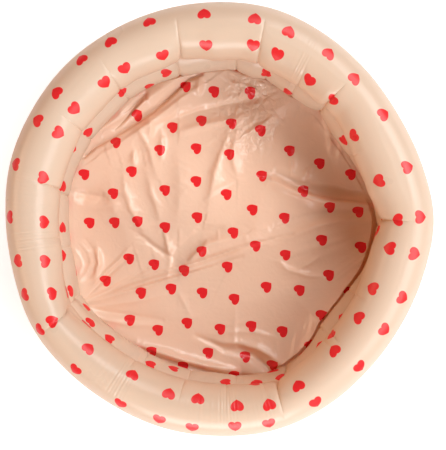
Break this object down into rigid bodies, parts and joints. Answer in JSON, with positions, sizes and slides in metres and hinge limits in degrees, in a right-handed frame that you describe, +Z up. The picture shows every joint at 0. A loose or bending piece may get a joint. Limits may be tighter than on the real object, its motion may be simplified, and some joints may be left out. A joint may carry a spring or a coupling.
{
  "type": "inflatable paddling pool",
  "caption": "Round inflatable paddling pool: stacked air rings of printed film with a puckered inner wall, a slack film floor, and a push-in air valve with plug and check flap in each ring.",
  "frame": {"origin": "on the ground, in the middle of the pool", "axes": "+Z up; -Y towards the side with the air valves, which is the lower edge of the picture; +X to the picture's right"},
  "size_m": [0.7987, 0.8082, 0.199],
  "materials": {
    "wall_film": "gloss",
    "floor_film": "gloss",
    "weld_film": "satin",
    "valve_moulding": "satin",
    "valve_flap_film": "gloss"
  },
  "bodies": {
    "pool": {"floor_sheet": "floor_film", "floor_weld": "weld_film", "lower_ring": "wall_film", "ring_weld": "weld_film", "upper_ring": "wall_film", "upper_valve_flange": "valve_moulding", "lower_valve_flange": "valve_moulding"},
    "upper_stem": {"upper_valve_stem": "valve_moulding"},
    "upper_plug": {"upper_valve_plug": "valve_moulding", "upper_valve_strap": "valve_moulding"},
    "upper_flap": {"upper_valve_flap": "valve_flap_film"},
    "lower_stem": {"lower_valve_stem": "valve_moulding"},
    "lower_plug": {"lower_valve_plug": "valve_moulding", "lower_valve_strap": "valve_moulding"},
    "lower_flap": {"lower_valve_flap": "valve_flap_film"}
  },
  "joints": [
    {"name": "upper_stem_pull", "type": "slide", "parent": "pool", "child": "upper_stem", "axis": [0.1079, -0.9073, -0.4064], "range_m": [0, 0.014]},
    {"name": "upper_plug_swing", "type": "hinge", "parent": "upper_stem", "child": "upper_plug", "pos_m": [0.04866, -0.40054, 0.1263], "axis": [-0.048, 0.4035, -0.9137], "range_deg": [0, 140]},
    {"name": "upper_flap_swing", "type": "hinge", "parent": "upper_stem", "child": "upper_flap", "pos_m": [0.05408, -0.38266, 0.1395], "axis": [0.993, 0.1181, 0], "range_deg": [0, 60]},
    {"name": "lower_stem_pull", "type": "slide", "parent": "pool", "child": "lower_stem", "axis": [-0.1386, -0.9031, -0.4064], "range_m": [0, 0.014]},
    {"name": "lower_plug_swing", "type": "hinge", "parent": "lower_stem", "child": "lower_plug", "pos_m": [-0.06335, -0.39662, 0.0281], "axis": [0.0617, 0.4017, -0.9137], "range_deg": [0, 140]},
    {"name": "lower_flap_swing", "type": "hinge", "parent": "lower_stem", "child": "lower_flap", "pos_m": [-0.05334, -0.38084, 0.0413], "axis": [0.9884, -0.1517, 0], "range_deg": [0, 60]}
  ]
}
